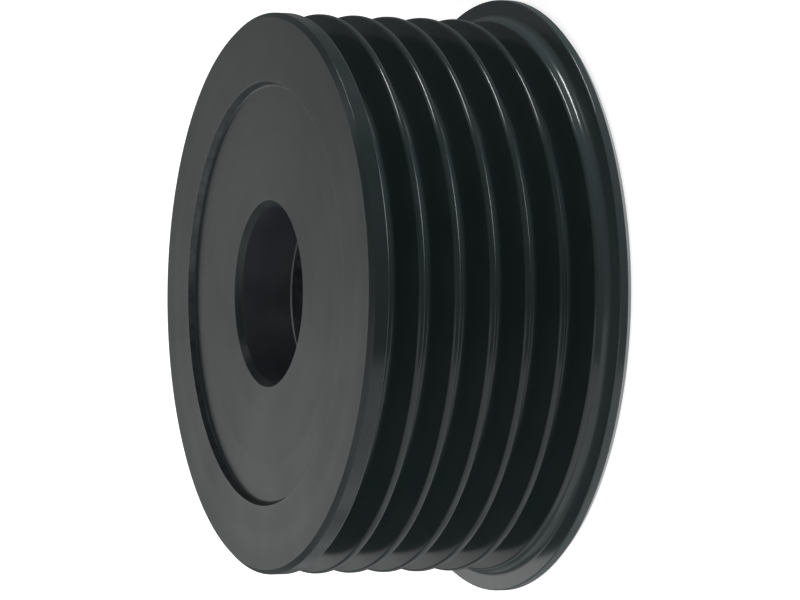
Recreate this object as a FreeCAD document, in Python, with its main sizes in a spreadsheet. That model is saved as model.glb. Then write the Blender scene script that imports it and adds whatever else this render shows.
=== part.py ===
import FreeCAD, Part
import math
import os
import Sketcher

# Ribbed alternator pulley, turned from one piece of steel.
# Axis along +Z. The flange end stands at z = 0 and the shallow-recessed face is uppermost.
# Every profile is drawn in the XZ plane: sketch x is a radius, sketch y a height.

# Driving dimensions in millimetres, angles in degrees
DIMENSIONS = {
    # belt surface
    "crest_diameter": 54.3,
    "groove_count": 6,
    "groove_pitch": 3.56,
    "groove_angle": 40.0,
    "crest_width": 0.60,
    "tip_radius": 0.30,
    "root_radius": 0.45,
    # lengths along the axis, from the recessed face to the flange
    "face_to_first_groove": 3.38,
    "last_groove_to_shoulder": 2.77,
    "flange_thickness": 1.65,
    # flange and outer edges
    "flange_height": 2.05,
    "shoulder_lean": 0.25,
    "shoulder_foot_radius": 0.80,
    "rim_edge_radius": 0.15,
    "face_chamfer": 0.45,
    "flange_chamfer": 0.60,
    # shallow recess in the upper face, inside a ring of full width
    "face_ring_width": 6.2,
    "recess_depth": 0.65,
    "recess_wall_lean": 0.25,
    "recess_foot_radius": 0.30,
    # bore, and the deep nut recess that opens at the flange end
    "bore_diameter": 17.0,
    "bore_chamfer": 0.55,
    "web_thickness": 6.0,
    "nut_seat_chamfer": 0.30,
    "wall_under_grooves": 6.95,
    "nut_recess_foot_radius": 0.80,
    "nut_recess_chamfer": 0.80,
}

# Sizes that follow from the driving dimensions, as spreadsheet formulas
DERIVED = {
    "crest_radius": "=crest_diameter / 2",
    "flange_radius": "=crest_radius + flange_height",
    "groove_run": "=(groove_count - 1) * groove_pitch",
    "width": "=face_to_first_groove + groove_run + last_groove_to_shoulder + flange_thickness",
    "first_groove_height": "=width - face_to_first_groove",
    "groove_opening": "=groove_pitch - crest_width",
    "flank_lean": "=groove_angle / 2",
    "flank_depth": "=(groove_opening / 2 - root_radius / cos(flank_lean)) / tan(flank_lean)",
    "groove_depth": "=flank_depth + root_radius",
    "recess_radius": "=crest_radius - face_chamfer - face_ring_width",
    "recess_floor": "=width - recess_depth",
    "nut_recess_radius": "=crest_radius - groove_depth - wall_under_grooves",
    "nut_seat": "=recess_floor - web_thickness",
}

# How far a cutting profile stands clear of the surface that it opens through
CUTTER_CLEAR = 1.0

doc = FreeCAD.newDocument("alternator_pulley")


def make_sheet():
    sheet = doc.addObject("Spreadsheet::Sheet", "Sizes")
    row = 1
    for alias, value in list(DIMENSIONS.items()) + list(DERIVED.items()):
        sheet.set(f"A{row}", alias)
        sheet.set(f"B{row}", str(value))
        sheet.setAlias(f"B{row}", alias)
        row += 1
    doc.recompute()
    return sheet


sizes = make_sheet()


def size(alias):
    """The current value of a cell, for placing geometry near where its constraints hold it."""
    return float(sizes.get(alias))


class Profile:
    """A closed outline in the body's XZ plane, dimensioned from the spreadsheet."""

    def __init__(self, body, name):
        self.sketch = body.newObject("Sketcher::SketchObject", name)
        plane = next(o for o in body.Origin.OriginFeatures if o.Role == "XZ_Plane")
        self.sketch.AttachmentSupport = [(plane, "")]
        self.sketch.MapMode = "FlatFace"

    def line(self, start, end, construction=False):
        segment = Part.LineSegment(FreeCAD.Vector(*start, 0), FreeCAD.Vector(*end, 0))
        return self.sketch.addGeometry(segment, construction)

    def arc(self, centre, radius, first_angle, last_angle):
        circle = Part.Circle(FreeCAD.Vector(*centre, 0), FreeCAD.Vector(0, 0, 1), radius)
        arc = Part.ArcOfCircle(circle, math.radians(first_angle), math.radians(last_angle))
        return self.sketch.addGeometry(arc, False)

    def polygon(self, points):
        """Straight edges through the points, joined end to end."""
        edges = [self.line(a, b) for a, b in zip(points, points[1:] + points[:1])]
        for edge, following in zip(edges, edges[1:] + edges[:1]):
            self.constrain("Coincident", edge, 2, following, 1)
        return edges

    def constrain(self, kind, *where):
        return self.sketch.addConstraint(Sketcher.Constraint(kind, *where))

    def level(self, *edges):
        for edge in edges:
            self.constrain("Horizontal", edge)

    def upright(self, *edges):
        for edge in edges:
            self.constrain("Vertical", edge)

    def dimension(self, name, kind, where, value, formula):
        """A named dimension that follows a spreadsheet formula."""
        index = self.constrain(kind, *where, value)
        self.sketch.renameConstraint(index, name)
        self.sketch.setExpression(f"Constraints.{name}", formula)

    def radius_at(self, name, edge, end, formula, value):
        """Sets an edge's end at a radius from the axis."""
        self.dimension(name, "DistanceX", (-1, 1, edge, end), value, formula)

    def height_at(self, name, edge, end, formula, value):
        """Sets an edge's end at a height above the flange end."""
        self.dimension(name, "DistanceY", (-1, 1, edge, end), value, formula)


def turn(body, kind, name, profile):
    """Revolves a profile about the axis, adding or cutting as its kind says."""
    feature = body.newObject(kind, name)
    feature.Profile = profile.sketch
    feature.ReferenceAxis = (profile.sketch, ["V_Axis"])
    feature.Angle = 360
    profile.sketch.Visibility = False
    doc.recompute()
    return feature


def circular_edge(shape, radius, height):
    """The name of the circular edge with this radius at this height."""
    for number, edge in enumerate(shape.Edges, 1):
        if not isinstance(edge.Curve, Part.Circle):
            continue
        same_radius = abs(edge.Curve.Radius - radius) < 1e-4
        same_height = abs(edge.Curve.Center.z - height) < 1e-4
        if same_radius and same_height:
            return f"Edge{number}"
    raise RuntimeError(f"no circular edge of radius {radius:.3f} at height {height:.3f}")


def dress(body, kind, name, base, edges, size_property, alias):
    """A fillet or chamfer on circular edges given as (radius, height)."""
    feature = body.newObject(kind, name)
    feature.Base = (base, [circular_edge(base.Shape, *edge) for edge in edges])
    feature.setExpression(size_property, f"Sizes.{alias}")
    doc.recompute()
    return feature


def make_blank(body):
    """The outside as turned before grooving: a cylinder with a thin flange at its foot."""
    crest, flange = size("crest_radius"), size("flange_radius")
    foot, width = size("flange_thickness"), size("width")
    profile = Profile(body, "BlankOutline")
    end_face, rim, shoulder, belt_side, face, axis = profile.polygon([
        (0, 0),
        (flange, 0),
        (flange, foot - size("shoulder_lean")),
        (crest, foot),
        (crest, width),
        (0, width),
    ])
    profile.constrain("Coincident", end_face, 1, -1, 1)
    profile.level(end_face, face)
    profile.upright(rim, belt_side, axis)
    profile.radius_at("flange_radius", rim, 1, "Sizes.flange_radius", flange)
    profile.radius_at("crest_radius", belt_side, 1, "Sizes.crest_radius", crest)
    profile.height_at("shoulder_foot", shoulder, 2, "Sizes.flange_thickness", foot)
    profile.height_at("shoulder_rim", shoulder, 1, "Sizes.flange_thickness - Sizes.shoulder_lean",
                      foot - size("shoulder_lean"))
    profile.height_at("width", face, 1, "Sizes.width", width)
    return turn(body, "PartDesign::Revolution", "Blank", profile)


def draw_groove(body):
    """One belt groove: straight flanks, a round root, and crest tips that run into the
    crest cylinder without a corner."""
    crest, centre = size("crest_radius"), size("first_groove_height")
    tip, root = size("tip_radius"), size("root_radius")
    lean = size("flank_lean")
    sine, cosine = math.sin(math.radians(lean)), math.cos(math.radians(lean))
    half_opening = size("groove_opening") / 2
    # arc centres, each where its arc touches the flank
    root_centre = crest - size("flank_depth")
    tip_offset = half_opening + tip * (1 - sine) / cosine
    flank_inner = (root_centre - root * sine, root * cosine)
    flank_outer = (crest - tip + tip * sine, tip_offset - tip * cosine)
    outer = crest + CUTTER_CLEAR

    profile = Profile(body, "GrooveOutline")

    def at(radius, offset):
        return (radius, centre + offset)

    top = profile.line(at(outer, tip_offset), at(crest, tip_offset))
    upper_tip = profile.arc(at(crest - tip, tip_offset), tip, 270 + lean, 360)
    upper_flank = profile.line(at(*flank_outer), at(*flank_inner))
    root_arc = profile.arc(at(root_centre, 0), root, 90 + lean, 270 - lean)
    lower_flank = profile.line(at(flank_inner[0], -flank_inner[1]), at(flank_outer[0], -flank_outer[1]))
    lower_tip = profile.arc(at(crest - tip, -tip_offset), tip, 0, 90 - lean)
    bottom = profile.line(at(crest, -tip_offset), at(outer, -tip_offset))
    outside = profile.line(at(outer, -tip_offset), at(outer, tip_offset))
    middle = profile.line(at(root_centre, 0), at(outer, 0), construction=True)

    profile.level(top, bottom, middle)
    profile.upright(outside)
    profile.constrain("Coincident", top, 2, upper_tip, 2)
    profile.constrain("Tangent", upper_tip, 1, upper_flank, 1)
    profile.constrain("Tangent", upper_flank, 2, root_arc, 1)
    profile.constrain("Tangent", root_arc, 2, lower_flank, 1)
    profile.constrain("Tangent", lower_flank, 2, lower_tip, 2)
    profile.constrain("Coincident", lower_tip, 1, bottom, 1)
    profile.constrain("Coincident", bottom, 2, outside, 1)
    profile.constrain("Coincident", outside, 2, top, 1)
    # each tip leaves the crest cylinder squarely to its own radius
    profile.constrain("Horizontal", upper_tip, 3, top, 2)
    profile.constrain("Horizontal", lower_tip, 3, bottom, 1)
    # the halves mirror each other about the groove's middle line
    profile.constrain("Coincident", middle, 1, root_arc, 3)
    profile.constrain("Symmetric", upper_tip, 3, lower_tip, 3, middle)
    profile.constrain("PointOnObject", middle, 2, outside)

    # the sharp corners where the flanks would meet the crest cylinder
    corner_line = profile.line(at(crest, half_opening), at(crest, -half_opening), construction=True)
    profile.upright(corner_line)
    profile.constrain("PointOnObject", corner_line, 1, upper_flank)
    profile.constrain("PointOnObject", corner_line, 2, lower_flank)

    profile.radius_at("crest_radius", top, 2, "Sizes.crest_radius", crest)
    profile.radius_at("corner_radius", corner_line, 1, "Sizes.crest_radius", crest)
    profile.radius_at("cutter_radius", top, 1, f"Sizes.crest_radius + {CUTTER_CLEAR}", outer)
    profile.height_at("groove_height", middle, 1, "Sizes.first_groove_height", centre)
    profile.dimension("opening", "DistanceY", (corner_line, 2, corner_line, 1),
                      2 * half_opening, "Sizes.groove_opening")
    profile.dimension("flank_lean", "Angle", (middle, 1, upper_flank, 2),
                      math.radians(lean), "Sizes.flank_lean")
    profile.dimension("root_radius", "Radius", (root_arc,), root, "Sizes.root_radius")
    profile.dimension("upper_tip_radius", "Radius", (upper_tip,), tip, "Sizes.tip_radius")
    profile.dimension("lower_tip_radius", "Radius", (lower_tip,), tip, "Sizes.tip_radius")
    return profile


def cut_grooves(body):
    """The belt grooves: one turned groove, repeated down the axis at the belt's pitch."""
    first = turn(body, "PartDesign::Groove", "BeltGroove", draw_groove(body))
    pattern = body.newObject("PartDesign::LinearPattern", "BeltGrooves")
    pattern.Originals = [first]
    pattern.Direction = (first.Profile[0], ["V_Axis"])
    pattern.Reversed = True
    pattern.Mode = "Spacing"
    pattern.setExpression("Offset", "Sizes.groove_pitch")
    pattern.setExpression("Occurrences", "Sizes.groove_count")
    body.Tip = pattern
    doc.recompute()
    return pattern


def cut_face_recess(body):
    """The shallow recess in the upper face, with a wall that leans out towards the face."""
    radius, lean = size("recess_radius"), size("recess_wall_lean")
    floor, width = size("recess_floor"), size("width")
    profile = Profile(body, "FaceRecessOutline")
    floor_edge, wall, side, top, axis = profile.polygon([
        (0, floor),
        (radius - lean, floor),
        (radius, width),
        (radius, width + CUTTER_CLEAR),
        (0, width + CUTTER_CLEAR),
    ])
    profile.level(floor_edge, top)
    profile.upright(side, axis)
    profile.constrain("PointOnObject", floor_edge, 1, -2)
    profile.radius_at("floor_radius", wall, 1, "Sizes.recess_radius - Sizes.recess_wall_lean", radius - lean)
    profile.radius_at("recess_radius", wall, 2, "Sizes.recess_radius", radius)
    profile.height_at("recess_floor", wall, 1, "Sizes.recess_floor", floor)
    profile.height_at("face", wall, 2, "Sizes.width", width)
    profile.height_at("cutter_top", top, 1, f"Sizes.width + {CUTTER_CLEAR}", width + CUTTER_CLEAR)
    return turn(body, "PartDesign::Groove", "FaceRecess", profile)


def cut_bore(body):
    """The shaft bore through the web and the wide nut recess below it, as one stepped cut."""
    bore, recess = size("bore_diameter") / 2, size("nut_recess_radius")
    seat, floor = size("nut_seat"), size("recess_floor")
    profile = Profile(body, "BoreOutline")
    below, recess_wall, nut_seat, bore_wall, above, axis = profile.polygon([
        (0, -CUTTER_CLEAR),
        (recess, -CUTTER_CLEAR),
        (recess, seat),
        (bore, seat),
        (bore, floor + CUTTER_CLEAR),
        (0, floor + CUTTER_CLEAR),
    ])
    profile.level(below, nut_seat, above)
    profile.upright(recess_wall, bore_wall, axis)
    profile.constrain("PointOnObject", below, 1, -2)
    profile.radius_at("nut_recess_radius", recess_wall, 1, "Sizes.nut_recess_radius", recess)
    profile.radius_at("bore_radius", bore_wall, 1, "Sizes.bore_diameter / 2", bore)
    profile.height_at("nut_seat", nut_seat, 1, "Sizes.nut_seat", seat)
    profile.height_at("cutter_top", above, 1, f"Sizes.recess_floor + {CUTTER_CLEAR}", floor + CUTTER_CLEAR)
    # the cutter's foot lies below the flange end, so its depth is given as a length
    profile.dimension("cutter_foot", "DistanceY", (below, 2, -1, 1), CUTTER_CLEAR, f"{CUTTER_CLEAR}")
    return turn(body, "PartDesign::Groove", "BoreAndNutRecess", profile)


def break_edges(body, base):
    """The foot radii and edge chamfers that the turning tool leaves."""
    fillet, chamfer = "PartDesign::Fillet", "PartDesign::Chamfer"
    crest, flange, width = size("crest_radius"), size("flange_radius"), size("width")
    shoulder = size("flange_thickness")
    bore, nut_recess = size("bore_diameter") / 2, size("nut_recess_radius")
    recess_foot = (size("recess_radius") - size("recess_wall_lean"), size("recess_floor"))
    steps = [
        (fillet, "ShoulderFoot", [(crest, shoulder)], "Radius", "shoulder_foot_radius"),
        (fillet, "RimEdge", [(flange, shoulder - size("shoulder_lean"))], "Radius", "rim_edge_radius"),
        (fillet, "RecessFoot", [recess_foot], "Radius", "recess_foot_radius"),
        (fillet, "NutRecessFoot", [(nut_recess, size("nut_seat"))], "Radius", "nut_recess_foot_radius"),
        (chamfer, "FaceChamfer", [(crest, width)], "Size", "face_chamfer"),
        (chamfer, "FlangeChamfer", [(flange, 0)], "Size", "flange_chamfer"),
        (chamfer, "BoreMouth", [(bore, size("recess_floor"))], "Size", "bore_chamfer"),
        (chamfer, "NutSeatEdge", [(bore, size("nut_seat"))], "Size", "nut_seat_chamfer"),
        (chamfer, "NutRecessMouth", [(nut_recess, 0)], "Size", "nut_recess_chamfer"),
    ]
    for kind, name, edges, size_property, alias in steps:
        base = dress(body, kind, name, base, edges, size_property, alias)
        body.Tip = base
    doc.recompute()
    return base


def make_pulley():
    body = doc.addObject("PartDesign::Body", "Pulley")
    body.Label = "pulley"
    doc.recompute()
    blank = make_blank(body)
    grooved = cut_grooves(body)
    recessed = cut_face_recess(body)
    bored = cut_bore(body)
    stages = [blank.Shape.Volume, grooved.Shape.Volume, recessed.Shape.Volume, bored.Shape.Volume]
    for before, after in zip(stages, stages[1:]):
        if after >= before:
            raise RuntimeError("a turned cut has removed nothing")
    break_edges(body, bored)
    body.Placement = FreeCAD.Placement()
    return body


bodies = [make_pulley()]
doc.recompute()

failed = [o.Label for o in doc.Objects if "Invalid" in o.State or "Error" in o.State]
if failed:
    raise RuntimeError(f"failed features: {failed}")
for body in bodies:
    if body.Shape.isNull() or not body.Shape.isValid() or len(body.Shape.Solids) != 1:
        raise RuntimeError(f"{body.Label} is not one valid solid")

os.makedirs("parts", exist_ok=True)
for body in bodies:
    body.Shape.exportStep(f"parts/{body.Label}.step")
    box = body.Shape.BoundBox
    print(body.Label, round(body.Shape.Volume, 1), "mm3,", len(body.Shape.Faces), "faces,",
          round(box.XLength, 2), round(box.YLength, 2), round(box.ZLength, 2), "mm")
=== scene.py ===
import math

import bpy
from mathutils import Matrix, Vector


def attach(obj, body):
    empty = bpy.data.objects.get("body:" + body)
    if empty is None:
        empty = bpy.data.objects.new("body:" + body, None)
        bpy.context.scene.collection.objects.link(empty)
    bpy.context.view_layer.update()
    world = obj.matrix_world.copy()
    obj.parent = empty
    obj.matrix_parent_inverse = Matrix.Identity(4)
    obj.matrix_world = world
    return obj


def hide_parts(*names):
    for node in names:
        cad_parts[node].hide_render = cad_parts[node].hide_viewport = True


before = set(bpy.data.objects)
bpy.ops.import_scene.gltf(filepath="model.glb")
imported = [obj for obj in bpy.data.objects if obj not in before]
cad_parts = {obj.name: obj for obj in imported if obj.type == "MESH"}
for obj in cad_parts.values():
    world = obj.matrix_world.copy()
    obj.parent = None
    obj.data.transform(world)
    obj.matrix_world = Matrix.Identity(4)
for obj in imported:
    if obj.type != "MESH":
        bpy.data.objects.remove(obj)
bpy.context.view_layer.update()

MM = 0.001
AXIS = (0, 0, 1)

# The pulley's sizes: lengths in millimetres, the angle in degrees, heights above the flange end.
# They equal the solid's, but for the edge break: the solid has sharp edges there.
SIZES = {
    "Width": 25.6,
    "Crest Radius": 27.15,
    "Groove Pitch": 3.56,
    "Half Opening": 1.48,
    "Groove Angle": 40.0,
    "First Groove Height": 22.22,
    "Tip Rounding": 0.30,
    "Root Rounding": 0.45,
    "Shoulder Height": 1.65,
    "Shoulder Lean": 0.25,
    "Shoulder Rounding": 0.80,
    "Flange Radius": 29.2,
    "Flange Chamfer": 0.60,
    "Rim Rounding": 0.15,
    "Face Chamfer": 0.45,
    "Recess Radius": 20.5,
    "Recess Floor": 24.95,
    "Recess Lean": 0.25,
    "Recess Rounding": 0.30,
    "Bore Radius": 8.5,
    "Bore Chamfer": 0.55,
    "Nut Seat": 18.95,
    "Seat Chamfer": 0.30,
    "Nut Recess Radius": 16.999,
    "Nut Recess Rounding": 0.80,
    "Nut Recess Chamfer": 0.80,
    "Edge Break": 0.05,
}
GROOVES = 6
STEPS_ROUND = 288

# Each groove has a tip, a root and a tip
POINTS_PER_GROOVE = 3.0

# A rounded corner is drawn with this many points, and with more for each millimetre of its radius
ROUNDING_POINTS = 3.0
ROUNDING_POINTS_PER_MM = 14.0

# Where the photograph was taken from, with the sizes in millimetres
CAMERA_PLACE = (-1.555, -364.787, 167.891)
CAMERA_AIM = (-0.540, -0.638, 11.312)
CAMERA_UP = (1.0, 0.0, 0.006478)
CAMERA_LENS = 182.06
CAMERA_SENSOR = 36.0

# Nearest and farthest that the camera sees, in metres
CAMERA_REACH = (0.02, 50.0)


# Joining nodes

def join(tree, value, socket):
    """Links a socket to an input, or sets the input to a plain value."""
    if isinstance(value, bpy.types.NodeSocket):
        tree.links.new(value, socket)
    else:
        socket.default_value = value


def add(tree, kind, inputs=None, **settings):
    """One node, with its settings made and its inputs joined."""
    node = tree.nodes.new(kind)
    for name, value in settings.items():
        setattr(node, name, value)
    for name, value in (inputs or {}).items():
        join(tree, value, node.inputs[name])
    return node


def calc(tree, operation, first, second=0.0, third=0.0, clamp=False):
    """A sum on numbers or sockets."""
    node = add(tree, "ShaderNodeMath", {0: first, 1: second, 2: third},
               operation=operation, use_clamp=clamp)
    return node.outputs[0]


def distance(tree, x, y):
    """How far a point is from the origin of a plane."""
    squared = calc(tree, "ADD", calc(tree, "MULTIPLY", x, x), calc(tree, "MULTIPLY", y, y))
    return calc(tree, "SQRT", squared)


def new_tree(name, kind, inputs, outputs):
    """A node group with named inputs and outputs; returns it with its two end nodes."""
    tree = bpy.data.node_groups.new(name, kind)
    for label, socket, default in inputs:
        made = tree.interface.new_socket(name=label, in_out="INPUT", socket_type=socket)
        if default is not None:
            made.default_value = default
    for label, socket in outputs:
        tree.interface.new_socket(name=label, in_out="OUTPUT", socket_type=socket)
    return tree, add(tree, "NodeGroupInput"), add(tree, "NodeGroupOutput")


# The turned body, as one outline spun about the axis

def pick(tree, index, choices):
    """The choice whose place in the list is the point's index."""
    node = add(tree, "GeometryNodeIndexSwitch", {"Index": index}, data_type="FLOAT")
    while len(node.index_switch_items) < len(choices):
        node.index_switch_items.new()
    for place, choice in enumerate(choices):
        join(tree, choice, node.inputs[place + 1])
    return node.outputs[0]


def choose(tree, switch, otherwise, chosen):
    """One of two numbers, by a switch."""
    node = add(tree, "GeometryNodeSwitch", {"Switch": switch, "False": otherwise, "True": chosen},
               input_type="FLOAT")
    return node.outputs[0]


def face_corners(tree, size):
    """Bore mouth, recess and face edge, from the bore outwards: radius, height, rounding."""
    mouth = calc(tree, "ADD", size["Bore Radius"], size["Bore Chamfer"])
    mouth_foot = calc(tree, "SUBTRACT", size["Recess Floor"], size["Bore Chamfer"])
    recess_foot = calc(tree, "SUBTRACT", size["Recess Radius"], size["Recess Lean"])
    face_edge = calc(tree, "SUBTRACT", size["Crest Radius"], size["Face Chamfer"])
    face_foot = calc(tree, "SUBTRACT", size["Width"], size["Face Chamfer"])
    broken = size["Edge Break"]
    return [
        (size["Bore Radius"], mouth_foot, broken),
        (mouth, size["Recess Floor"], broken),
        (recess_foot, size["Recess Floor"], size["Recess Rounding"]),
        (size["Recess Radius"], size["Width"], broken),
        (face_edge, size["Width"], broken),
        (size["Crest Radius"], face_foot, broken),
    ]


def flange_corners(tree, size):
    """Shoulder, rim, flange end, nut recess and its seat, in order: radius, height, rounding."""
    shoulder_rim = calc(tree, "SUBTRACT", size["Shoulder Height"], size["Shoulder Lean"])
    end_edge = calc(tree, "SUBTRACT", size["Flange Radius"], size["Flange Chamfer"])
    recess_mouth = calc(tree, "ADD", size["Nut Recess Radius"], size["Nut Recess Chamfer"])
    seat_edge = calc(tree, "ADD", size["Bore Radius"], size["Seat Chamfer"])
    seat_foot = calc(tree, "ADD", size["Nut Seat"], size["Seat Chamfer"])
    broken = size["Edge Break"]
    return [
        (size["Crest Radius"], size["Shoulder Height"], size["Shoulder Rounding"]),
        (size["Flange Radius"], shoulder_rim, size["Rim Rounding"]),
        (size["Flange Radius"], size["Flange Chamfer"], broken),
        (end_edge, 0.0, broken),
        (recess_mouth, 0.0, broken),
        (size["Nut Recess Radius"], size["Nut Recess Chamfer"], broken),
        (size["Nut Recess Radius"], size["Nut Seat"], size["Nut Recess Rounding"]),
        (seat_edge, size["Nut Seat"], broken),
        (size["Bore Radius"], seat_foot, broken),
    ]


def groove_corner(tree, size, place):
    """The groove rule: a tip, a root and a tip, and each groove is one pitch below the last."""
    # Half a point more, so that rounding can't move a tip into the groove before
    half_past = calc(tree, "ADD", place, 0.5)
    number = calc(tree, "FLOOR", calc(tree, "DIVIDE", half_past, POINTS_PER_GROOVE))
    role = calc(tree, "SUBTRACT", place, calc(tree, "MULTIPLY", number, POINTS_PER_GROOVE))
    is_root = calc(tree, "COMPARE", role, 1.0, 0.1)
    half_angle = calc(tree, "RADIANS", calc(tree, "DIVIDE", size["Groove Angle"], 2.0))
    depth = calc(tree, "DIVIDE", size["Half Opening"], calc(tree, "TANGENT", half_angle))
    sunk = calc(tree, "MULTIPLY", depth, is_root)
    radius = calc(tree, "SUBTRACT", size["Crest Radius"], sunk)
    drop = calc(tree, "MULTIPLY", number, size["Groove Pitch"])
    middle = calc(tree, "SUBTRACT", size["First Groove Height"], drop)
    offset = calc(tree, "MULTIPLY", calc(tree, "SUBTRACT", 1.0, role), size["Half Opening"])
    extra = calc(tree, "SUBTRACT", size["Root Rounding"], size["Tip Rounding"])
    rounding = calc(tree, "MULTIPLY_ADD", extra, is_root, size["Tip Rounding"])
    return radius, calc(tree, "ADD", middle, offset), rounding


def outline_corner(tree, size, index, face, flange):
    """Radius, height and rounding of the outline's corner with this index."""
    groove_points = calc(tree, "MULTIPLY", size["Grooves"], POINTS_PER_GROOVE)
    place = calc(tree, "SUBTRACT", index, float(len(face)))
    after = calc(tree, "SUBTRACT", place, groove_points)
    in_grooves = calc(tree, "GREATER_THAN", place, -0.5)
    past_grooves = calc(tree, "GREATER_THAN", after, -0.5)
    grooves = groove_corner(tree, size, place)
    values = []
    for column in range(3):
        first = pick(tree, index, [corner[column] for corner in face])
        last = pick(tree, after, [corner[column] for corner in flange])
        value = choose(tree, in_grooves, first, grooves[column])
        values.append(choose(tree, past_grooves, value, last))
    return values


def spin_outline(tree, outline, steps):
    """Sweeps the outline round a circle about the axis; the circle's radius is taken off first."""
    track = 10.0
    position = add(tree, "GeometryNodeInputPosition").outputs[0]
    place = add(tree, "ShaderNodeSeparateXYZ", {0: position})
    reach = calc(tree, "SUBTRACT", place.outputs["X"], track)
    down = calc(tree, "MULTIPLY", place.outputs["Y"], -1.0)
    seat = add(tree, "ShaderNodeCombineXYZ", {"X": reach, "Y": down})
    shifted = add(tree, "GeometryNodeSetPosition",
                  {"Geometry": outline, "Position": seat.outputs[0]})
    circle = add(tree, "GeometryNodeCurvePrimitiveCircle", {"Resolution": steps, "Radius": track})
    mesh = add(tree, "GeometryNodeCurveToMesh",
               {"Curve": circle.outputs[0], "Profile Curve": shifted.outputs[0]})
    return mesh.outputs[0]


def finish_regions(tree, size):
    """Which faces belong to the belt surface, and which to the bore and nut recess."""
    slack = 0.01 * MM
    position = add(tree, "GeometryNodeInputPosition").outputs[0]
    x, y, z = add(tree, "ShaderNodeSeparateXYZ", {0: position}).outputs
    recess = calc(tree, "MULTIPLY", size["Recess Radius"], MM)
    outside = calc(tree, "GREATER_THAN", distance(tree, x, y), recess)
    face_foot = calc(tree, "SUBTRACT", size["Width"], size["Face Chamfer"])
    below_face = calc(tree, "LESS_THAN", z, calc(tree, "MULTIPLY_ADD", face_foot, MM, slack))
    above_end = calc(tree, "GREATER_THAN", z, slack)
    belt = calc(tree, "MULTIPLY", outside, calc(tree, "MULTIPLY", below_face, above_end))
    inside = calc(tree, "SUBTRACT", 1.0, outside)
    mouth_foot = calc(tree, "SUBTRACT", size["Recess Floor"], size["Bore Chamfer"])
    below_floor = calc(tree, "LESS_THAN", z, calc(tree, "MULTIPLY_ADD", mouth_foot, MM, slack))
    bored = calc(tree, "MULTIPLY", inside, calc(tree, "MULTIPLY", below_floor, above_end))
    return belt, bored


def pulley_tree():
    """The whole turned body from its named sizes, in metres, with its three finishes."""
    inputs = [("Geometry", "NodeSocketGeometry", None)]
    inputs += [(name, "NodeSocketFloat", value) for name, value in SIZES.items()]
    inputs += [("Grooves", "NodeSocketInt", GROOVES), ("Steps Round", "NodeSocketInt", STEPS_ROUND)]
    finishes = ("Face Finish", "Belt Finish", "Bore Finish")
    inputs += [(name, "NodeSocketMaterial", None) for name in finishes]
    tree, given, result = new_tree("turned pulley", "GeometryNodeTree", inputs,
                                   [("Geometry", "NodeSocketGeometry")])
    size = given.outputs
    face, flange = face_corners(tree, size), flange_corners(tree, size)
    plain_corners = float(len(face) + len(flange))
    count = calc(tree, "MULTIPLY_ADD", size["Grooves"], POINTS_PER_GROOVE, plain_corners)
    line = add(tree, "GeometryNodeMeshLine", {"Count": count})
    index = add(tree, "GeometryNodeInputIndex").outputs[0]
    radius, height, rounding = outline_corner(tree, size, index, face, flange)
    corner = add(tree, "ShaderNodeCombineXYZ", {"X": radius, "Y": height})
    placed = add(tree, "GeometryNodeSetPosition",
                 {"Geometry": line.outputs[0], "Position": corner.outputs[0]})
    kept = add(tree, "GeometryNodeStoreNamedAttribute",
               {"Geometry": placed.outputs[0], "Name": "rounding", "Value": rounding},
               data_type="FLOAT", domain="POINT")
    curve = add(tree, "GeometryNodeMeshToCurve", {"Mesh": kept.outputs[0]})
    closed = add(tree, "GeometryNodeSetSplineCyclic",
                 {"Geometry": curve.outputs[0], "Cyclic": True})
    held = add(tree, "GeometryNodeInputNamedAttribute", {"Name": "rounding"},
               data_type="FLOAT").outputs[0]
    points = calc(tree, "MULTIPLY_ADD", held, ROUNDING_POINTS_PER_MM, ROUNDING_POINTS)
    rounded = add(tree, "GeometryNodeFilletCurve",
                  {"Curve": closed.outputs[0], "Radius": held, "Count": calc(tree, "CEIL", points),
                   "Limit Radius": True}, mode="POLY")
    body = spin_outline(tree, rounded.outputs[0], size["Steps Round"])
    metres = add(tree, "GeometryNodeTransform", {"Geometry": body, "Scale": (MM, MM, MM)})
    smooth = add(tree, "GeometryNodeSetShadeSmooth",
                 {"Geometry": metres.outputs[0], "Shade Smooth": True})
    real = add(tree, "GeometryNodeRealizeInstances", {"Geometry": smooth.outputs[0]})
    belt, bored = finish_regions(tree, size)
    last = add(tree, "GeometryNodeSetMaterial",
               {"Geometry": real.outputs[0], "Material": size["Face Finish"]})
    for region, finish in ((belt, "Belt Finish"), (bored, "Bore Finish")):
        last = add(tree, "GeometryNodeSetMaterial",
                   {"Geometry": last.outputs[0], "Selection": region, "Material": size[finish]})
    join(tree, last.outputs[0], result.inputs["Geometry"])
    return tree


def set_inputs(modifier, values):
    """Sets a modifier's inputs, found by name, through their identifiers."""
    for item in modifier.node_group.interface.items_tree:
        if item.item_type == "SOCKET" and item.in_out == "INPUT" and item.name in values:
            modifier[item.identifier] = values[item.name]


def make_pulley(face, belt, bore):
    """The visible pulley as one plain mesh, with normals that keep its lands flat."""
    seed = bpy.data.objects.new("pulley_seed", bpy.data.meshes.new("pulley_seed"))
    bpy.context.scene.collection.objects.link(seed)
    turned = seed.modifiers.new("turned", "NODES")
    turned.node_group = pulley_tree()
    values = dict(SIZES)
    values.update({"Grooves": GROOVES, "Steps Round": STEPS_ROUND,
                   "Face Finish": face, "Belt Finish": belt, "Bore Finish": bore})
    set_inputs(turned, values)
    # At this weight the largest faces set the normals
    weighted = seed.modifiers.new("flat lands", "WEIGHTED_NORMAL")
    weighted.weight = 100
    shapes = bpy.context.evaluated_depsgraph_get()
    mesh = bpy.data.meshes.new_from_object(seed.evaluated_get(shapes), depsgraph=shapes)
    bpy.data.objects.remove(seed)
    pulley = bpy.data.objects.new("pulley_body", mesh)
    bpy.context.scene.collection.objects.link(pulley)
    return pulley


# Finishes

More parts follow.
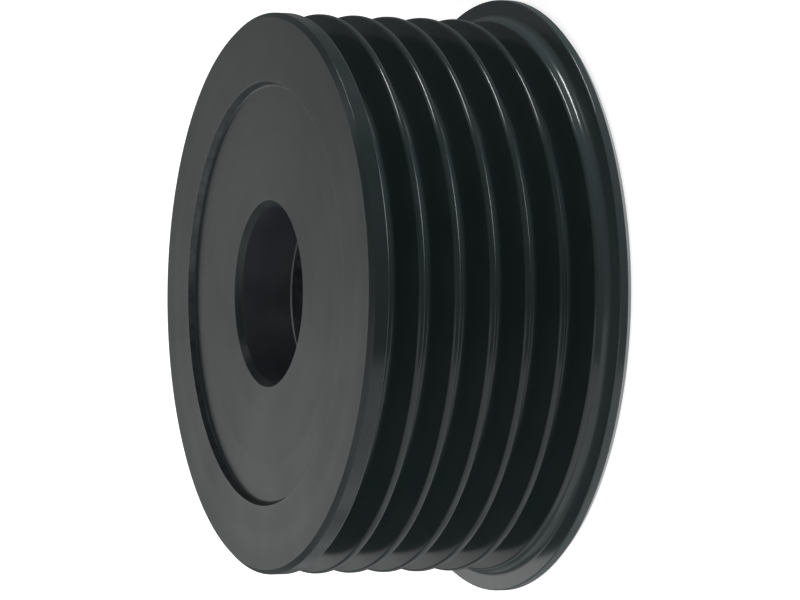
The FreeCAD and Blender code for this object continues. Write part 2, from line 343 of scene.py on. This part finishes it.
def radius_and_height(tree):
    """Distance from the axis and height, in millimetres, with the place itself."""
    place = add(tree, "ShaderNodeTexCoord").outputs["Object"]
    scaled = add(tree, "ShaderNodeVectorMath", {0: place, "Scale": 1 / MM},
                 operation="SCALE").outputs[0]
    x, y, z = add(tree, "ShaderNodeSeparateXYZ", {0: scaled}).outputs
    return distance(tree, x, y), z, scaled


def noise(tree, place, scale, detail=2.0, roughness=0.5):
    """A noise between 0 and 1; the scale is its spots for each millimetre."""
    node = add(tree, "ShaderNodeTexNoise",
               {"Vector": place, "Scale": scale, "Detail": detail, "Roughness": roughness})
    return node.outputs[0]


def spread(tree, value, low, high, to_low=0.0, to_high=1.0, smooth=False):
    """Maps a range of a value to another range."""
    node = add(tree, "ShaderNodeMapRange",
               {"Value": value, "From Min": low, "From Max": high,
                "To Min": to_low, "To Max": to_high},
               interpolation_type="SMOOTHSTEP" if smooth else "LINEAR")
    return node.outputs[0]


def mixed(tree, factor, first, second):
    """A colour between two colours."""
    node = add(tree, "ShaderNodeMix", {"Factor": factor, "A": first, "B": second}, data_type="RGBA")
    return node.outputs[2]


def turning_marks_group():
    """Fine rings left by the lathe: uneven rings by noise and a regular thread by the feed."""
    tree, given, result = new_tree(
        "turning marks", "ShaderNodeTree",
        [("Feed", "NodeSocketFloat", 0.25), ("Unevenness", "NodeSocketFloat", 0.6),
         ("Wander", "NodeSocketFloat", 0.05)],
        [("Height", "NodeSocketFloat"), ("Streak", "NodeSocketFloat")])
    radius, height, place = radius_and_height(tree)
    drift = noise(tree, place, scale=0.25, detail=1.0)
    wander = calc(tree, "MULTIPLY", drift, given.outputs["Wander"])
    across = calc(tree, "ADD", radius, wander)
    along = calc(tree, "ADD", height, wander)
    rings = add(tree, "ShaderNodeCombineXYZ", {"X": across, "Y": along})
    density = calc(tree, "DIVIDE", 1.0, given.outputs["Feed"])
    uneven = noise(tree, rings.outputs[0], density, detail=3.0, roughness=0.7)
    turns = calc(tree, "MULTIPLY", calc(tree, "ADD", across, along),
                 calc(tree, "MULTIPLY", density, math.tau))
    thread = calc(tree, "MULTIPLY_ADD", calc(tree, "SINE", turns), 0.5, 0.5)
    blend = add(tree, "ShaderNodeMix",
                {"Factor": given.outputs["Unevenness"], "A": thread, "B": uneven}, data_type="FLOAT")
    bands = noise(tree, rings.outputs[0], scale=0.6, detail=4.0, roughness=0.6)
    join(tree, blend.outputs[0], result.inputs["Height"])
    join(tree, spread(tree, bands, low=0.3, high=0.7), result.inputs["Streak"])
    return tree


# How much of the coat's texture is its fine tooth; the rest is the orange peel
TOOTH_SHARE = 0.25


def coat_grain_group():
    """The black coat's own texture: a soft orange peel, a finer tooth, slow clouds and specks."""
    tree, given, result = new_tree(
        "coat grain", "ShaderNodeTree",
        [("Peel Size", "NodeSocketFloat", 0.5), ("Tooth Size", "NodeSocketFloat", 0.07),
         ("Cloud Size", "NodeSocketFloat", 9.0)],
        [("Height", "NodeSocketFloat"), ("Clouds", "NodeSocketFloat"), ("Specks", "NodeSocketFloat")])
    place = radius_and_height(tree)[2]
    peel = noise(tree, place, calc(tree, "DIVIDE", 1.0, given.outputs["Peel Size"]))
    tooth_scale = calc(tree, "DIVIDE", 1.0, given.outputs["Tooth Size"])
    tooth = noise(tree, place, tooth_scale, roughness=0.6)
    peel_height = calc(tree, "MULTIPLY", peel, 1.0 - TOOTH_SHARE)
    height = calc(tree, "MULTIPLY_ADD", tooth, TOOTH_SHARE, peel_height)
    cloud_scale = calc(tree, "DIVIDE", 1.0, given.outputs["Cloud Size"])
    clouds = noise(tree, place, cloud_scale, detail=3.0, roughness=0.55)
    specks = noise(tree, place, scale=2.6, detail=1.0)
    join(tree, height, result.inputs["Height"])
    join(tree, spread(tree, clouds, low=0.35, high=0.65), result.inputs["Clouds"])
    join(tree, spread(tree, specks, low=0.60, high=0.85), result.inputs["Specks"])
    return tree


# A pitch in millimetres that is longer than the pulley, for a corner that doesn't repeat
NO_REPEAT = 100.0


def wear_and_light_group():
    """A mask that is strong on a turned corner and fades over its width, a little broken up: for rubbed
    corners and for broad bands of painted light.
    """
    tree, given, result = new_tree(
        "corner wear and painted light", "ShaderNodeTree",
        [("Radius", "NodeSocketFloat", SIZES["Crest Radius"]), ("Height", "NodeSocketFloat", 0.0),
         ("Width", "NodeSocketFloat", 0.3), ("Pitch", "NodeSocketFloat", NO_REPEAT),
         ("Amount", "NodeSocketFloat", 1.0)],
        [("Mask", "NodeSocketFloat")])
    radius, height, place = radius_and_height(tree)
    pitch = given.outputs["Pitch"]
    from_corner = calc(tree, "SUBTRACT", height, given.outputs["Height"])
    nearest = calc(tree, "ROUND", calc(tree, "DIVIDE", from_corner, pitch))
    rise = calc(tree, "SUBTRACT", from_corner, calc(tree, "MULTIPLY", nearest, pitch))
    reach = calc(tree, "SUBTRACT", radius, given.outputs["Radius"])
    away = calc(tree, "DIVIDE", distance(tree, rise, reach), given.outputs["Width"])
    near = spread(tree, away, low=1.0, high=0.35, smooth=True)
    patches = noise(tree, place, scale=0.9, detail=4.0, roughness=0.65)
    broken = spread(tree, patches, low=0.36, high=0.62)
    wear_and_light = calc(tree, "MULTIPLY", near, broken)
    wear_and_light = calc(tree, "MULTIPLY", wear_and_light, given.outputs["Amount"], clamp=True)
    join(tree, wear_and_light, result.inputs["Mask"])
    return tree


def use_group(tree, group, values):
    """A group's node in a material, with its own values."""
    node = add(tree, "ShaderNodeGroup", node_tree=group)
    for name, value in values.items():
        join(tree, value, node.inputs[name])
    return node


def wear_and_light_masks(tree, group, corners):
    """The strongest of several wear and painted light masks, each given as its group values."""
    mask = None
    for values in corners:
        next_mask = use_group(tree, group, values).outputs["Mask"]
        mask = next_mask if mask is None else calc(tree, "MAXIMUM", mask, next_mask)
    return mask


def round_the_axis(tree):
    """The direction of the turning marks at each place: level and square to the radius."""
    place = add(tree, "ShaderNodeTexCoord").outputs["Object"]
    node = add(tree, "ShaderNodeVectorMath", {0: AXIS, 1: place}, operation="CROSS_PRODUCT")
    return node.outputs[0]


# Heights in millimetres at which the painted light on the flange begins and is full: below them the coat
# is painted paler, standing in for light on the flange side
FLANGE_LIGHT_BEGINS = 3.0
FLANGE_LIGHT_FULL = 2.6

# Turns the coat's long highlight across the turning marks
QUARTER_TURN = 0.25


def coated_finish(name, groups, marks, grain, corners, look):
    """Black coat over turned steel, with its marks, grain and worn corners, and painted light: paler
    groove roots, a paler flange and paler, shinier bands on the recess walls.
    """
    material = bpy.data.materials.new(name)
    material.use_nodes = True
    tree = material.node_tree
    shader = tree.nodes["Principled BSDF"]
    marked = use_group(tree, groups["marks"], marks)
    grained = use_group(tree, groups["grain"], grain)
    wear_and_light = wear_and_light_masks(tree, groups["wear"], corners)
    clouds, streak = grained.outputs["Clouds"], marked.outputs["Streak"]
    radius, height, _ = radius_and_height(tree)
    crest = SIZES["Crest Radius"]
    coat = mixed(tree, clouds, look["dark coat"], look["pale coat"])
    # Painted light: the coat is painted paler towards the groove roots, by the look's share, to lift the
    # shade in the grooves
    sunk = spread(tree, radius, crest, crest - look["groove depth"])
    groove_light = calc(tree, "MULTIPLY", sunk, calc(tree, "MULTIPLY", sunk, look["groove light share"]))
    groove_lit = mixed(tree, groove_light, coat, look["painted groove light"])
    # Painted light: the coat is painted paler on the flange and the land beside it
    flange_light = spread(tree, height, FLANGE_LIGHT_BEGINS, FLANGE_LIGHT_FULL)
    flange_lit = mixed(tree, flange_light, groove_lit, look["painted flange light"])
    # Wear, and painted light on the recess walls: paler and shinier where the masks are strong
    join(tree, mixed(tree, wear_and_light, flange_lit, look["wear and light colour"]), shader.inputs["Base Color"])
    uneven = calc(tree, "MULTIPLY_ADD", clouds, look["cloud roughness"], look["roughness"])
    uneven = calc(tree, "MULTIPLY_ADD", streak, look["streak roughness"], uneven)
    specks = grained.outputs["Specks"]
    uneven = calc(tree, "MULTIPLY_ADD", specks, look["speck roughness"], uneven)
    smoothed = calc(tree, "MULTIPLY_ADD", wear_and_light, look["wear and light roughness"], uneven, clamp=True)
    join(tree, smoothed, shader.inputs["Roughness"])
    join(tree, calc(tree, "MULTIPLY", wear_and_light, look["wear and light metal"]), shader.inputs["Metallic"])
    shader.inputs["IOR"].default_value = look["ior"]
    shader.inputs["Anisotropic"].default_value = look["lay"]
    shader.inputs["Anisotropic Rotation"].default_value = QUARTER_TURN
    join(tree, round_the_axis(tree), shader.inputs["Tangent"])
    marks_bump = add(tree, "ShaderNodeBump",
                     {"Height": marked.outputs["Height"], "Strength": look["mark strength"],
                      "Distance": look["mark depth"] * MM})
    grain_bump = add(tree, "ShaderNodeBump",
                     {"Height": grained.outputs["Height"], "Strength": look["grain strength"],
                      "Distance": look["grain depth"] * MM, "Normal": marks_bump.outputs[0]})
    join(tree, grain_bump.outputs[0], shader.inputs["Normal"])
    return material


# The coat: its colours, among them painted light for the groove roots and the flange, depths in
# millimetres, roughness, and how much each effect adds
COAT_LOOK = {
    "dark coat": (0.0112, 0.0168, 0.0172, 1),
    "pale coat": (0.0141, 0.0198, 0.0203, 1),
    "painted groove light": (0.0270, 0.0400, 0.0410, 1),
    "painted flange light": (0.0290, 0.0385, 0.0395, 1),
    "groove depth": 3.20,
    "groove light share": 0.0,
    "wear and light colour": (0.090, 0.098, 0.100, 1),
    "wear and light metal": 0.9,
    "ior": 1.30,
    "roughness": 0.27,
    "lay": 0.35,
    "cloud roughness": 0.05,
    "streak roughness": 0.05,
    "speck roughness": 0.02,
    "wear and light roughness": -0.06,
    "mark strength": 0.25,
    "mark depth": 0.010,
    "grain strength": 0.25,
    "grain depth": 0.012,
}

# The belt side is glossier, and its grooves are painted paler towards the root: painted light that lifts
# their shade
BELT_LOOK = {
    **COAT_LOOK,
    "groove light share": 1.0,
    "roughness": 0.175,
    "lay": 0.30,
    "cloud roughness": 0.01,
    "streak roughness": 0.01,
    "mark strength": 0.06,
    "grain strength": 0.05,
}

# The bored surfaces are duller, and their turning marks are coarser
BORE_LOOK = {
    **COAT_LOOK,
    "dark coat": (0.021, 0.023, 0.028, 1),
    "pale coat": (0.025, 0.027, 0.032, 1),
    "roughness": 0.38,
    "lay": 0.5,
    "mark strength": 0.5,
    "mark depth": 0.02,
}

# Where some rubbed lines and bands of painted light lie, in millimetres: in from the recess's rim and
# down from the face, where a rubbed rim meets painted light on the recess wall, in from a groove's sharp
# tip both ways, above the rim's corner, and below the nut's seat, where painted light lies on the nut
# recess's wall
RECESS_LIGHT_IN = 0.10
RECESS_LIGHT_DOWN = 0.25
TIP_LINE_IN = 0.06
RIM_LINE_UP = 0.10
NUT_WALL_LIGHT_DOWN = 3.0


def wear_and_light_at(radius, height, width, amount, pitch=NO_REPEAT):
    """The wear and painted light group's values: where a corner or band is, how wide and strong, and how
    it repeats.
    """
    return {"Radius": radius, "Height": height, "Width": width, "Amount": amount, "Pitch": pitch}


def face_wear_and_light():
    """Wear of the faced surfaces at the face edge, recess rim, bore mouth, flange end and nut recess
    mouth, and painted light on the recess wall.
    """
    top = SIZES["Width"]
    face_edge = SIZES["Crest Radius"] - SIZES["Face Chamfer"]
    recess = SIZES["Recess Radius"] - RECESS_LIGHT_IN
    mouth = SIZES["Bore Radius"] + SIZES["Bore Chamfer"]
    end_edge = SIZES["Flange Radius"] - SIZES["Flange Chamfer"]
    nut_mouth = SIZES["Nut Recess Radius"] + SIZES["Nut Recess Chamfer"]
    return [
        wear_and_light_at(radius=face_edge, height=top, width=0.22, amount=0.06),
        # A little rubbing at the rim, and painted light: a broad paler, shinier band that lifts the
        # shaded recess wall
        wear_and_light_at(radius=recess, height=top - RECESS_LIGHT_DOWN, width=0.55, amount=0.34),
        wear_and_light_at(radius=mouth, height=SIZES["Recess Floor"], width=0.20, amount=0.12),
        wear_and_light_at(radius=end_edge, height=0.0, width=0.25, amount=0.12),
        wear_and_light_at(radius=nut_mouth, height=0.0, width=0.25, amount=0.12),
    ]


def belt_wear():
    """Wear of the belt side: the face chamfer's foot, the grooves' tips and the rim."""
    crest, flange = SIZES["Crest Radius"], SIZES["Flange Radius"]
    chamfer_foot = SIZES["Width"] - SIZES["Face Chamfer"]
    rim_line = SIZES["Shoulder Height"] - SIZES["Shoulder Lean"] + RIM_LINE_UP
    first, to_tip = SIZES["First Groove Height"], SIZES["Half Opening"] + TIP_LINE_IN
    tip, pitch = crest - TIP_LINE_IN, SIZES["Groove Pitch"]
    return [
        wear_and_light_at(radius=crest, height=chamfer_foot, width=0.20, amount=0.02),
        wear_and_light_at(radius=tip, height=first + to_tip, width=0.30, amount=0.02, pitch=pitch),
        wear_and_light_at(radius=tip, height=first - to_tip, width=0.30, amount=0.02, pitch=pitch),
        wear_and_light_at(radius=flange, height=rim_line, width=0.30, amount=0.07),
        wear_and_light_at(radius=flange, height=SIZES["Flange Chamfer"], width=0.25, amount=0.07),
    ]


def bore_wear_and_light():
    """Wear of the bored surfaces at both ends of the bore, and painted light broadly on the nut recess's
    wall.
    """
    bore, seat = SIZES["Bore Radius"], SIZES["Nut Seat"]
    foot = SIZES["Recess Floor"] - SIZES["Bore Chamfer"]
    wall = SIZES["Nut Recess Radius"]
    return [
        wear_and_light_at(radius=bore, height=foot, width=0.20, amount=0.15),
        wear_and_light_at(radius=bore + SIZES["Seat Chamfer"], height=seat, width=0.30, amount=0.07),
        # Painted light: a broad paler, shinier band on the shaded nut recess wall
        wear_and_light_at(radius=wall, height=seat - NUT_WALL_LIGHT_DOWN, width=4.5, amount=0.45),
    ]


def make_finishes():
    """One finish for the faced surfaces, one for the belt side and one for the bored surfaces."""
    groups = {
        "marks": turning_marks_group(),
        "grain": coat_grain_group(),
        "wear": wear_and_light_group(),
    }
    face = coated_finish("coated_faced_steel", groups,
                         marks={"Feed": 0.16, "Unevenness": 0.7, "Wander": 0.04},
                         grain={"Peel Size": 0.6, "Cloud Size": 8.0},
                         corners=face_wear_and_light(), look=COAT_LOOK)
    belt = coated_finish("coated_belt_surface", groups,
                         marks={"Feed": 0.10, "Unevenness": 0.8, "Wander": 0.02},
                         grain={"Peel Size": 0.8, "Cloud Size": 5.0},
                         corners=belt_wear(), look=BELT_LOOK)
    bore = coated_finish("coated_bored_steel", groups,
                         marks={"Feed": 0.33, "Unevenness": 0.93, "Wander": 0.10},
                         grain={"Peel Size": 0.5, "Cloud Size": 3.0},
                         corners=bore_wear_and_light(), look=BORE_LOOK)
    return face, belt, bore


# Studio

WHITE = (1, 1, 1, 1)
BLACK = (0, 0, 0, 1)

# The floor: its colour, the light that makes it white to the eye, half its side in metres, and its level
FLOOR_COLOUR = (0.86, 0.86, 0.86, 1)
FLOOR_GLOW = 0.72
FLOOR_HALF = 4.0
FLOOR_LEVEL = -0.02 * MM


def white_to_eye(tree):
    """One for rays from the eye, straight or through glass; mirrored rays see the room instead."""
    path = add(tree, "ShaderNodeLightPath")
    return calc(tree, "MAXIMUM", path.outputs["Is Camera Ray"], path.outputs["Is Transmission Ray"])


def floor_material():
    """Pale paper that glows to the eye and is clear from below."""
    material = bpy.data.materials.new("studio_floor")
    material.use_nodes = True
    tree = material.node_tree
    tree.nodes.clear()
    paper = add(tree, "ShaderNodeBsdfDiffuse", {"Color": FLOOR_COLOUR})
    glow = add(tree, "ShaderNodeEmission", {"Color": WHITE, "Strength": FLOOR_GLOW})
    nothing = add(tree, "ShaderNodeEmission", {"Color": BLACK, "Strength": 0.0})
    lit = add(tree, "ShaderNodeMixShader",
              {0: white_to_eye(tree), 1: nothing.outputs[0], 2: glow.outputs[0]})
    both = add(tree, "ShaderNodeAddShader", {0: paper.outputs[0], 1: lit.outputs[0]})
    clear = add(tree, "ShaderNodeBsdfTransparent")
    from_below = add(tree, "ShaderNodeNewGeometry").outputs["Backfacing"]
    sheet = add(tree, "ShaderNodeMixShader",
                {0: from_below, 1: both.outputs[0], 2: clear.outputs[0]})
    add(tree, "ShaderNodeOutputMaterial", {"Surface": sheet.outputs[0]})
    return material


def make_floor():
    """A wide plain floor just under the flange end, clear to light from below like a light table."""
    corners = [(x * FLOOR_HALF, y * FLOOR_HALF, FLOOR_LEVEL)
               for x, y in ((-1, -1), (1, -1), (1, 1), (-1, 1))]
    mesh = bpy.data.meshes.new("studio_floor")
    mesh.from_pydata(corners, [], [(0, 1, 2, 3)])
    floor = bpy.data.objects.new("studio_floor", mesh)
    bpy.context.scene.collection.objects.link(floor)
    mesh.materials.append(floor_material())
    floor.visible_glossy = False
    floor.visible_shadow = False


def compass(azimuth, elevation):
    """A direction: azimuth 0 is the camera's side and 90 is +X, in degrees."""
    a, e = math.radians(azimuth), math.radians(elevation)
    return Vector((math.sin(a) * math.cos(e), -math.cos(a) * math.cos(e), math.sin(e)))


# Brightness of the room's plain walls
ROOM_GREY = 0.17

# Round pale areas of the room, in degrees: azimuth, elevation, how far from the middle they begin to
# fade and end; then their brightness
ROUND_AREAS = {
    "overhead panel": (-90, 78, 8, 34, 0.5),
    "pale wall behind the camera": (-4, 34, 6, 34, 0.20),
    "backdrop behind the face": (-169, 27, 2, 21, 1.68),
    "upper backdrop": (-168, 55, 8, 32, 0.8),
    "white paper underneath": (180, -70, 22, 47, 1.2),
    "reflector card underneath": (62, -67, 4, 17, 10.5),
    "small lamp on the far side": (97, 45, 2, 10, 4.0),
}

# Square soft boxes, in degrees: two azimuths, two elevations, width of the soft edge; then brightness
SOFT_BOXES = {
    "large soft box": (-28, -98, -45, 8, 8, 1.52),
    "its upper part": (-10, -98, 8, 62, 8, 1.35),
    "its lower part": (-10, -98, -78, -45, 8, 1.00),
    "pale wall beside it": (-98, -128, -60, 40, 8, 0.60),
    "dimmer wall beyond": (-128, -152, -50, 8, 8, 0.30),
}

# The strip lamp: its direction in degrees, its distance and size in metres, its brightness
STRIP_LAMP = {
    "azimuth": 83.5,
    "elevation": -3,
    "distance": 0.6,
    "width": 0.27,
    "height": 0.085,
    "radiance": 52.0,
}


def round_area(tree, direction, azimuth, elevation, inner, outer, brightness):
    """A broad area of light that fades towards its edge."""
    towards = add(tree, "ShaderNodeVectorMath", {0: direction, 1: compass(azimuth, elevation)},
                  operation="DOT_PRODUCT").outputs["Value"]
    away = calc(tree, "ARCCOSINE", towards)
    return spread(tree, away, math.radians(outer), math.radians(inner),
                  to_high=brightness, smooth=True)


def window(tree, angle, first, last, edge):
    """One between two angles in degrees, with soft edges."""
    low, high, half = min(first, last), max(first, last), edge / 2
    rise = spread(tree, angle, math.radians(low - half), math.radians(low + half), smooth=True)
    fall = spread(tree, angle, math.radians(high + half), math.radians(high - half), smooth=True)
    return calc(tree, "MULTIPLY", rise, fall)


def soft_box(tree, direction, first, last, foot, top, edge, brightness):
    """A square area of light between two azimuths and two elevations."""
    x, y, z = add(tree, "ShaderNodeSeparateXYZ", {0: direction}).outputs
    azimuth = calc(tree, "ARCTAN2", x, calc(tree, "MULTIPLY", y, -1.0))
    across = window(tree, azimuth, first, last, edge)
    upwards = window(tree, calc(tree, "ARCSINE", z), foot, top, edge)
    return calc(tree, "MULTIPLY", calc(tree, "MULTIPLY", across, upwards), brightness)


def make_world():
    """A grey room with broad pale areas; plain white where the camera looks past the floor."""
    world = bpy.data.worlds.new("studio")
    bpy.context.scene.world = world
    world.use_nodes = True
    tree = world.node_tree
    tree.nodes.clear()
    direction = add(tree, "ShaderNodeTexCoord").outputs["Generated"]
    level = ROOM_GREY
    for area in ROUND_AREAS.values():
        level = calc(tree, "ADD", round_area(tree, direction, *area), level)
    for box in SOFT_BOXES.values():
        level = calc(tree, "ADD", soft_box(tree, direction, *box), level)
    room = add(tree, "ShaderNodeBackground", {"Color": WHITE, "Strength": level})
    white = add(tree, "ShaderNodeBackground", {"Color": WHITE, "Strength": 1.0})
    seen = add(tree, "ShaderNodeMixShader",
               {0: white_to_eye(tree), 1: room.outputs[0], 2: white.outputs[0]})
    add(tree, "ShaderNodeOutputWorld", {"Surface": seen.outputs[0]})


def make_lamp(name, azimuth, elevation, distance, width, height, radiance):
    """A rectangular soft lamp that looks at the pulley's middle, with its long side level."""
    data = bpy.data.lights.new(name, "AREA")
    data.shape = "RECTANGLE"
    data.size, data.size_y = width, height
    data.energy = radiance * math.pi * width * height
    lamp = bpy.data.objects.new(name, data)
    bpy.context.scene.collection.objects.link(lamp)
    towards = compass(azimuth, elevation)
    lamp.location = Vector(AXIS) * SIZES["Width"] / 2 * MM + towards * distance
    lamp.rotation_mode = "QUATERNION"
    lamp.rotation_quaternion = towards.to_track_quat("Z", "Y")


def make_camera():
    """The camera at the photograph's place, turned as the photograph is."""
    data = bpy.data.cameras.new("camera")
    data.lens = CAMERA_LENS
    data.sensor_width = CAMERA_SENSOR
    data.clip_start, data.clip_end = CAMERA_REACH
    camera = bpy.data.objects.new("camera", data)
    bpy.context.scene.collection.objects.link(camera)
    place, aim = Vector(CAMERA_PLACE) * MM, Vector(CAMERA_AIM) * MM
    back = (place - aim).normalized()
    right = Vector(CAMERA_UP).cross(back).normalized()
    up = back.cross(right)
    turn = Matrix((right, up, back)).transposed().to_4x4()
    camera.matrix_world = Matrix.Translation(place) @ turn
    bpy.context.scene.camera = camera


make_camera()
make_floor()
make_world()
make_lamp("strip_lamp", **STRIP_LAMP)
bpy.context.scene.view_settings.view_transform = "Standard"

pulley = make_pulley(*make_finishes())
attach(pulley, "root")
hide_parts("pulley")
